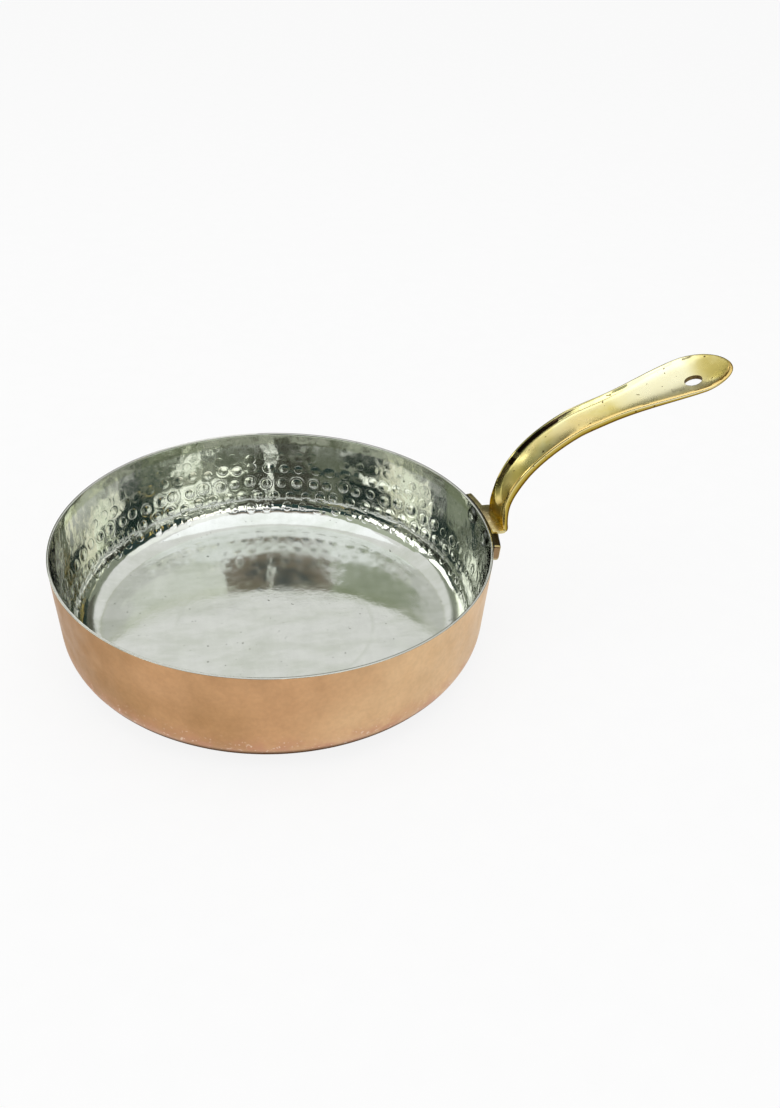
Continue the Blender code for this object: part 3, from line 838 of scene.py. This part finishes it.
sag = HEAD_RADIUS**2 / (2 * (RIM_RADIUS - COPPER_WALL))
head = -(TIN_SKIN + SEAT_GAP + sag)
tail = 2 * SEAT_GAP + EAR_THICKNESS
section = []
for step in range(HEAD_STEPS + 1):
    angle = pi / 2 * step / HEAD_STEPS
    dome = head - HEAD_HEIGHT * cos(angle) ** 1.15
    section.append((HEAD_RADIUS * sin(angle) ** 0.9, dome))
section += [(HEAD_RADIUS * 0.97, head + HEAD_SEAT), (RIVET_RADIUS, head + HEAD_SEAT)]
section.append((RIVET_RADIUS, tail))
for step in range(TAIL_STEPS + 1):
    angle = pi / 2 * step / TAIL_STEPS
    peened = tail + TAIL_HEIGHT * sin(angle) ** 0.8
    section.append((TAIL_RADIUS * cos(angle), peened))
for side, name, node in ((1, "left_rivet", "rivet_left"), (-1, "right_rivet", "rivet_right")):
    body = spun(section, RIVET_STEPS)
    edge_shade_layer = body.verts.layers.float.new("foot")
    for vert in body.verts:
        # The foot attribute places the painted shade at the head's outer edge.
        vert[edge_shade_layer] = min(hypot(vert.co.x, vert.co.y) / HEAD_RADIUS, 1)
        dent = noise.noise(Vector((vert.co.x, vert.co.y, side)) * 420.0)
        if hypot(vert.co.x, vert.co.y) < HEAD_RADIUS * 0.9:
            vert.co.z += HEAD_DENT * dent if vert.co.z < head else -TAIL_DENT * abs(dent)
    bmesh.ops.transform(body, matrix=rivet_frame(side), verts=body.verts)
    finish_piece(name, body, rivet_tin, [node], sharp=50)

# %% [markdown]
# ## The handle's line
# The handle stands up from the rim, bends over and runs out to a round, dished end. Its line is two
# joined Bezier curves in an upright plane. Everything on the handle is placed by its share of that
# line's length, so the sections below need only a width and a depth for each share.

# %% The line along the handle's top
FLANGE_DROP = 0.0005  # the flange's top, below the rim
FLANGE_HEIGHT = 0.0115
NECK_STANDOFF = 0.0074  # the neck's front, from the wall
LEDGE_WIDTH, LEDGE_THICKNESS = 0.0288, 0.0017
BEND_REACH, BEND_RISE = 0.0443, 0.0582  # where the neck's bend ends, from the rim
HANDLE_REACH, HANDLE_RISE = 0.13258, 0.0888  # the tip, from the rim
NECK_ANGLE, BEND_ANGLE, TIP_ANGLE = 100, 30.7, 6  # degrees above level
NECK_SWEEP, BEND_SWEEP = 0.0285, 0.023  # how far each bend is drawn out
SHANK_SWEEP, TIP_SWEEP = 0.010, 0.012
LINE_SAMPLES = 400


def direction(degrees):
    return Vector((cos(radians(degrees)), 0, sin(radians(degrees))))


def bezier(points, share):
    a, b, c, d = points
    rest = 1 - share
    return a * rest**3 + b * 3 * rest**2 * share + c * 3 * rest * share**2 + d * share**3


root_height = PAN_HEIGHT - FLANGE_DROP - LEDGE_THICKNESS
root = Vector((wall_radius(PAN_HEIGHT) + NECK_STANDOFF, 0, root_height))
bend = Vector((RIM_RADIUS + BEND_REACH, 0, PAN_HEIGHT + BEND_RISE))
tip = Vector((RIM_RADIUS + HANDLE_REACH, 0, PAN_HEIGHT + HANDLE_RISE))
neck = (root, root + direction(NECK_ANGLE) * NECK_SWEEP)
neck += (bend - direction(BEND_ANGLE) * BEND_SWEEP, bend)
shank = (bend, bend + direction(BEND_ANGLE) * SHANK_SWEEP)
shank += (tip - direction(TIP_ANGLE) * TIP_SWEEP, tip)
line = [bezier(neck, step / LINE_SAMPLES) for step in range(LINE_SAMPLES + 1)]
line += [bezier(shank, step / LINE_SAMPLES) for step in range(1, LINE_SAMPLES + 1)]
lengths = [0.0]
for before, after in zip(line, line[1:]):
    lengths.append(lengths[-1] + (after - before).length)
LINE_LENGTH = lengths[-1]


def on_line(share):
    """The point at a share of the length, and the direction out of the handle's top there."""
    wanted = share * LINE_LENGTH
    index = 0
    while index < len(line) - 2 and lengths[index + 1] < wanted:
        index += 1
    step = (line[index + 1] - line[index]).normalized()
    return line[index] + step * (wanted - lengths[index]), Vector((-step.z, 0, step.x))


print(f"handle {LINE_LENGTH:.4f} m along its top")

# %% [markdown]
# ## The handle's sections
# Across, the handle has a bowed underside and a trough on top between two thin rails. The trough
# starts in a round end above the neck and opens into the spoon at the tip. The trough's depth is
# a height for every point of the top, so its round ends need no cutting.

# %% Widths and depths along the handle
ROOT_WIDTH, NECK_WIDTH, SHANK_WIDTH, SPOON_WIDTH = 0.0268, 0.0213, 0.0240, 0.0388
ROOT_DEPTH, SHANK_DEPTH, SPOON_DEPTH, TIP_DEPTH = 0.0052, 0.0084, 0.0078, 0.0044
NECK_SHARE = 0.10  # where the neck is narrowest
CAP_SHARE = 0.862  # where the round tip begins
EDGE_ROUND = 0.0006


def half_width(share):
    if share < NECK_SHARE:
        return between(ROOT_WIDTH, NECK_WIDTH, ease(share / NECK_SHARE)) / 2
    shank = (SHANK_WIDTH - NECK_WIDTH) * ease((share - NECK_SHARE) / 0.24)
    spoon = (SPOON_WIDTH - SHANK_WIDTH) * ease((share - 0.56) / 0.325)
    return (NECK_WIDTH + shank + spoon) / 2


def spoon_part(share):
    """0 along the shank, 1 in the spoon."""
    return ease((share - 0.42) / 0.465)


def cap_reach(share):
    """0 up to where the round tip begins, 1 at its point."""
    return clamped((share - CAP_SHARE) / (1 - CAP_SHARE))


def full_depth(share):
    depth = between(ROOT_DEPTH, SHANK_DEPTH, ease(share / 0.2))
    depth += (SPOON_DEPTH - SHANK_DEPTH) * spoon_part(share)
    return depth + (TIP_DEPTH - SPOON_DEPTH) * ease(cap_reach(share))


for share in (0.0, 0.1, 0.4, 0.7, 0.885):
    width, depth = 2000 * half_width(share), 1000 * full_depth(share)
    print(f"at {share}: {width:.1f} mm wide, {depth:.1f} mm deep")

# %% The top and the underside at each share
RAIL, LIP = 0.0017, 0.0021  # the rails' width, and the raised edge's round the tip
TROUGH_START, TROUGH_ROUND, TROUGH_DEPTH = 0.062, 0.085, 0.0042
BANK_WIDTH, BANK_STEEPNESS = 0.0009, 2.7  # the steep banks between the rails and the trough
BANK_DEPTH = BANK_WIDTH * BANK_STEEPNESS
SPOON_FLOOR, TIP_FLOOR = 0.0024, 0.0016  # the metal left under the hollow
SHANK_POWER, SPOON_POWER = 2.15, 1.8  # 2 is an ellipse, more is squarer


def curve_power(share):
    return between(SHANK_POWER, SPOON_POWER, spoon_part(share))


def trough_depth(share, across):
    """How far the trough lies below the rails, at a distance across."""
    inner = half_width(share) - RAIL
    start = (TROUGH_START + TROUGH_ROUND - share) / TROUGH_ROUND
    end = cap_reach(share) / (1 - LIP / (LINE_LENGTH * (1 - CAP_SHARE)))
    reach = hypot(max(start, end), across / inner)
    if reach >= 1:
        return 0.0
    power = curve_power(share)
    floor = between(SPOON_FLOOR, TIP_FLOOR, ease(cap_reach(share)))
    whole = full_depth(share) * (1 - cap_reach(share) ** 2) ** 0.3
    deep = TROUGH_DEPTH + (whole - floor - TROUGH_DEPTH) * spoon_part(share)
    bowl = max(deep, 0) * (1 - reach**power) ** (1 / power)
    in_from_edge = (1 - reach) * inner
    bank = min(in_from_edge, BANK_WIDTH) * BANK_STEEPNESS
    rest = max(in_from_edge - BANK_WIDTH, 0) / (inner - BANK_WIDTH)
    banked = bank + (TROUGH_DEPTH - BANK_DEPTH) * sqrt(1 - (1 - rest) ** 2)
    return bowl * spoon_part(share) + banked * (1 - spoon_part(share))


def top_height(share, across):
    rim = half_width(share)
    gap = max(rim * (1 - hypot(cap_reach(share), across / rim)), 0)
    rounded = 0.0
    if gap < EDGE_ROUND:
        rounded = -EDGE_ROUND + sqrt(EDGE_ROUND**2 - (EDGE_ROUND - gap) ** 2)
    return rounded - trough_depth(share, across)


def underside(share, turn):
    """A point of the bowed underside: turn goes from one side, 0, to the other, pi."""
    left = sqrt(1 - cap_reach(share) ** 2)
    power = 2 / curve_power(share)
    across = half_width(share) * left * copysign(abs(cos(turn)) ** power, cos(turn))
    deep = full_depth(share) * left**0.6 - EDGE_ROUND
    return across, -EDGE_ROUND - max(deep, 0) * sin(turn) ** power


print("trough in the middle of the shank", round(1000 * trough_depth(0.4, 0), 2), "mm deep")

# %% [markdown]
# ## Rolling the handle
# A flat grid is rolled into the handle: one side of the grid runs along the handle, the other goes
# once round its section. Its two long sides meet and merge, the tip closes to a point, and a face
# closes the foot. The hanging hole is then cut by a round bar. On the way, each point gets the
# attributes that the brass finish reads: under, hollow, flush and bank.

# %% Where the rings lie, and where the painted dark reflection sits
STATIONS, AROUND = 240, 88
FIRST_RINGS, LAST_RINGS = 50, 40
FIRST_SHARE = 0.12
DARK_BANK_STRETCHES = ((0.188, 0.014, 0.216, 0.010), (0.238, 0.014, 0.420, 0.130))  # starts, over, fades, over


def station(step):
    """Shares of the length for the rings, closer together at the trough's start and the tip."""
    if step <= FIRST_RINGS:
        return FIRST_SHARE * step / FIRST_RINGS
    last = STATIONS - LAST_RINGS
    if step <= last:
        return FIRST_SHARE + (CAP_SHARE - FIRST_SHARE) * (step - FIRST_RINGS) / (last - FIRST_RINGS)
    return CAP_SHARE + (1 - CAP_SHARE) * sin(pi / 2 * (step - last) / LAST_RINGS)


def bank_dark_reflection(share):
    """How dark the bank's painted reflection is: a short stretch, a gap, then a long one."""
    return sum(
        ease((share - starts) / over) * (1 - ease((share - fades) / fading))
        for starts, over, fades, fading in DARK_BANK_STRETCHES
    )


def dark_reflection_width(share):
    """How far down the bank the painted dark reflection reaches: it tapers towards the spoon."""
    return (BANK_WIDTH + 0.0002) * (1 - 0.65 * ease((share - 0.34) / 0.14))


print("rings at", [round(station(step), 3) for step in range(0, STATIONS + 1, 40)])

# %% Roll a grid round the handle's section
body = bmesh.new()
bmesh.ops.create_grid(body, x_segments=STATIONS, y_segments=AROUND, size=1)
names = ("under", "bank", "hollow", "flush")
under, bank, hollow, flush = [body.verts.layers.float.new(name) for name in names]
rings = {}
for vert in body.verts:
    step = round((vert.co.x + 1) / 2 * STATIONS)
    turn = (vert.co.y + 1) / 2 * tau
    if step not in rings:
        share = station(step)
        rings[step] = (share, *on_line(share))
    share, point, up = rings[step]
    if turn <= pi:
        across, rise = underside(share, turn)
        vert[under] = sin(turn)
    else:
        side = half_width(share) * sqrt(max(1 - cap_reach(share) ** 2, 0))
        across = side * cos(turn)
        rise = top_height(share, across)
        in_from_rail = side - RAIL - abs(across)
        vert[hollow] = ease(in_from_rail / 0.002)
        if across < 0 and in_from_rail > -RAIL:
            vert[flush] = 1 - ease((in_from_rail - 0.001) / 0.0045)
        # The bank attribute carries the painted dark reflection.
        if 0 <= in_from_rail <= dark_reflection_width(share):
            vert[bank] = bank_dark_reflection(share)
    vert.co = point + Vector((0, across, 0)) + up * rise
bmesh.ops.remove_doubles(body, verts=body.verts, dist=0.000005)
bmesh.ops.holes_fill(body, edges=[edge for edge in body.edges if edge.is_boundary], sides=0)
print("rolled", len(body.faces), "faces")

# %% Cut the hanging hole
HOLE_RADIUS = 0.0049
HOLE_FROM_TIP = 0.0220
BAR_LENGTH = 0.024
BRASS_SHARP = 38  # degrees past which the casting's edges are shaded as edges

shank_piece = finish_piece(
    "brass_shank", body, brass, ["handle"], sharp=BRASS_SHARP, merge=0.000005
)
point, up = on_line(1 - HOLE_FROM_TIP / LINE_LENGTH)
bar = bmesh.new()
bmesh.ops.create_cone(
    bar, cap_ends=True, segments=96, radius1=HOLE_RADIUS, radius2=HOLE_RADIUS, depth=BAR_LENGTH
)
upright = Matrix.Translation(point) @ up.to_track_quat("Z", "Y").to_matrix().to_4x4()
bmesh.ops.transform(bar, matrix=upright, verts=bar.verts)
cutter = new_object("hole_bar", bar, dull)
cut = shank_piece.modifiers.new("hole", "BOOLEAN")
cut.operation = "DIFFERENCE"
cut.solver = "EXACT"
cut.material_mode = "TRANSFER"
cut.object = cutter
graph = bpy.context.evaluated_depsgraph_get()
drilled = bpy.data.meshes.new_from_object(shank_piece.evaluated_get(graph))
shank_piece.modifiers.clear()
shank_piece.data = drilled
bpy.data.objects.remove(cutter)
drilled.set_sharp_from_angle(angle=radians(BRASS_SHARP))
print("hole", 2000 * HOLE_RADIUS, "mm wide, faces", len(drilled.polygons))

# %% [markdown]
# ## The flange
# At its foot the handle spreads into a flange: two ears that hug the wall and take the rivets, a
# flat ledge that the neck stands on, and a rib below it. The ears are a straight bar with its
# corners rounded, cut into short lengths and then bent round the wall.

# %% Round the ears' bar
EAR_REACH = 0.0284
EAR_TOP_ROUND, EAR_BOTTOM_ROUND, EAR_EDGE_ROUND = 0.0012, 0.0052, 0.0011
ear_top = PAN_HEIGHT - FLANGE_DROP
middle_height = ear_top - FLANGE_HEIGHT / 2


def box(size, centre):
    body = bmesh.new()
    bmesh.ops.create_cube(body, size=1)
    bmesh.ops.scale(body, vec=size, verts=body.verts)
    bmesh.ops.translate(body, vec=centre, verts=body.verts)
    return body


def bevel_edges(body, chosen, size, segments):
    bmesh.ops.bevel(
        body,
        geom=[edge for edge in body.edges if chosen(edge)],
        offset=size,
        segments=segments,
        affect="EDGES",
        profile=0.5,
        material=-1,
        clamp_overlap=True,
    )


def along_x(edge):
    return abs(edge.verts[0].co.x - edge.verts[1].co.x) > EAR_THICKNESS / 2


bar_size = (EAR_THICKNESS, 2 * EAR_REACH, FLANGE_HEIGHT)
body = box(bar_size, (EAR_THICKNESS / 2, 0, middle_height))
bevel_edges(body, lambda e: along_x(e) and e.verts[0].co.z > middle_height, EAR_TOP_ROUND, 5)
bevel_edges(body, lambda e: along_x(e) and e.verts[0].co.z < middle_height, EAR_BOTTOM_ROUND, 10)
bevel_edges(body, lambda e: min(v.co.x for v in e.verts) > EAR_THICKNESS * 0.99, EAR_EDGE_ROUND, 5)
print("ears' bar", len(body.faces), "faces")

# %% Bend the ears round the wall
EAR_LENGTHS = 72
for step in range(1, EAR_LENGTHS):
    across = EAR_REACH * (2 * step / EAR_LENGTHS - 1)
    everything = body.verts[:] + body.edges[:] + body.faces[:]
    bmesh.ops.bisect_plane(body, geom=everything, plane_co=(0, across, 0), plane_no=(0, 1, 0))
dark_seam_layer = body.verts.layers.float.new("grime")
end_reflection_layer = body.verts.layers.float.new("end")
for vert in body.verts:
    # The end attribute marks the ears' ends for their painted reflection.
    vert[end_reflection_layer] = 1.0 if abs(vert.co.y) > EAR_REACH - 0.0004 else 0.0
    # The grime attribute carries the seam's painted shadow.
    vert[dark_seam_layer] = max(0, 1 - vert.co.x / (EAR_THICKNESS - EAR_EDGE_ROUND))
    if -EAR_REACH + 0.0014 < vert.co.y < -0.0150 and vert.co.z > ear_top - 0.0016:
        vert[dark_seam_layer] = 1.0  # the near ear's top: a painted dark reflection
    angle = asin(vert.co.y / RIM_RADIUS)
    radius = wall_radius(vert.co.z) + SEAT_GAP + vert.co.x
    vert.co = Vector((cos(angle) * radius, sin(angle) * radius, vert.co.z))
print("ears bent,", len(body.faces), "faces")

# %% [markdown]
# The ledge and the rib are a box and a wedge. The ledge's edges are rounded by bevels, as a file
# would round them, and they run a little way into the ears and the neck, as one casting does.

# %% Shape the ledge
LEDGE_START = 0.0006  # how far outside the wall the ledge begins
LEDGE_LIFT = 0.0001  # its top, above the ears
LEDGE_CORNER, LEDGE_EDGE = 0.0026, 0.0003
ledge_inner = RIM_RADIUS + SEAT_GAP + LEDGE_START
ledge_outer = RIM_RADIUS + NECK_STANDOFF + ROOT_DEPTH / 3


def at_ledge_corner(edge):
    first, second = (vert.co for vert in edge.verts)
    return min(first.x, second.x) > ledge_outer - 0.0001 and abs(first.y - second.y) < 0.001


def round_ledge_top(edge):
    return all(vert.co.z > ear_top for vert in edge.verts)


centre = ((ledge_outer + ledge_inner) / 2, 0, ear_top + LEDGE_LIFT - LEDGE_THICKNESS / 2)
ledge = box((ledge_outer - ledge_inner, LEDGE_WIDTH, LEDGE_THICKNESS), centre)
bevel_edges(ledge, at_ledge_corner, LEDGE_CORNER, 6)
bevel_edges(ledge, round_ledge_top, LEDGE_EDGE, 3)
print("ledge", len(ledge.faces), "faces")

# %% Shape the rib and join the three
RIB_WIDTH = 0.010
RIB_STEPS = 12
foot = ear_top - FLANGE_HEIGHT + EAR_EDGE_ROUND
face = wall_radius(foot, -SEAT_GAP - EAR_THICKNESS)
back = RIM_RADIUS + NECK_STANDOFF + ROOT_DEPTH * 0.85
high = ear_top - LEDGE_THICKNESS / 2
sweep = (high - foot) * 0.78
outline = [(ledge_inner, foot), (ledge_inner, high), (back, high)]
for step in range(RIB_STEPS + 1):
    angle = pi / 2 * (1 + step / RIB_STEPS)
    outline.append((back + (back - face) * cos(angle), foot + sweep * sin(angle)))
rib = bmesh.new()
side = rib.faces.new([rib.verts.new((x, -RIB_WIDTH / 2, z)) for x, z in outline])
extruded = bmesh.ops.extrude_face_region(rib, geom=[side])["geom"]
moved = [item for item in extruded if isinstance(item, bmesh.types.BMVert)]
bmesh.ops.translate(rib, vec=(0, RIB_WIDTH, 0), verts=moved)
bmesh.ops.recalc_face_normals(rib, faces=rib.faces)
for extra in (ledge, rib):
    mesh = bpy.data.meshes.new("extra")
    extra.to_mesh(mesh)
    extra.free()
    body.from_mesh(mesh)
finish_piece("brass_flange", body, cast_brass, sharp=BRASS_SHARP)
